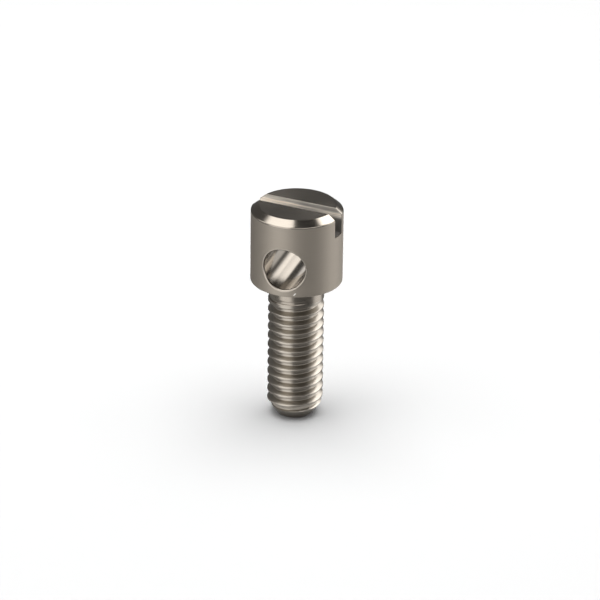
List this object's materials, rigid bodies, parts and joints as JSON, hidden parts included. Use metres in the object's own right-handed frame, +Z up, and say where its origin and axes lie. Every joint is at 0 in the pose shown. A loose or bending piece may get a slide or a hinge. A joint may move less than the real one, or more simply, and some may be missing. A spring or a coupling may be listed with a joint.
{
  "type": "sealing screw",
  "caption": "Turned machine screw with a slotted cylindrical head, cross-drilled low down for a sealing wire, and a coarse-threaded shank with a coned end.",
  "frame": {"origin": "centre of the flat on the end of the shank, on the surface that the screw stands on", "axes": "+Z up the screw's axis to the slotted top of the head, +Y along the sealing-wire hole, +X about eight degrees from the screwdriver slot"},
  "size_m": [0.0065, 0.0066, 0.0161],
  "materials": {
    "bare_metal": "fine-turned bare metal, semi-bright"
  },
  "bodies": {
    "root": {"sealing_screw": "bare_metal"}
  },
  "joints": []
}
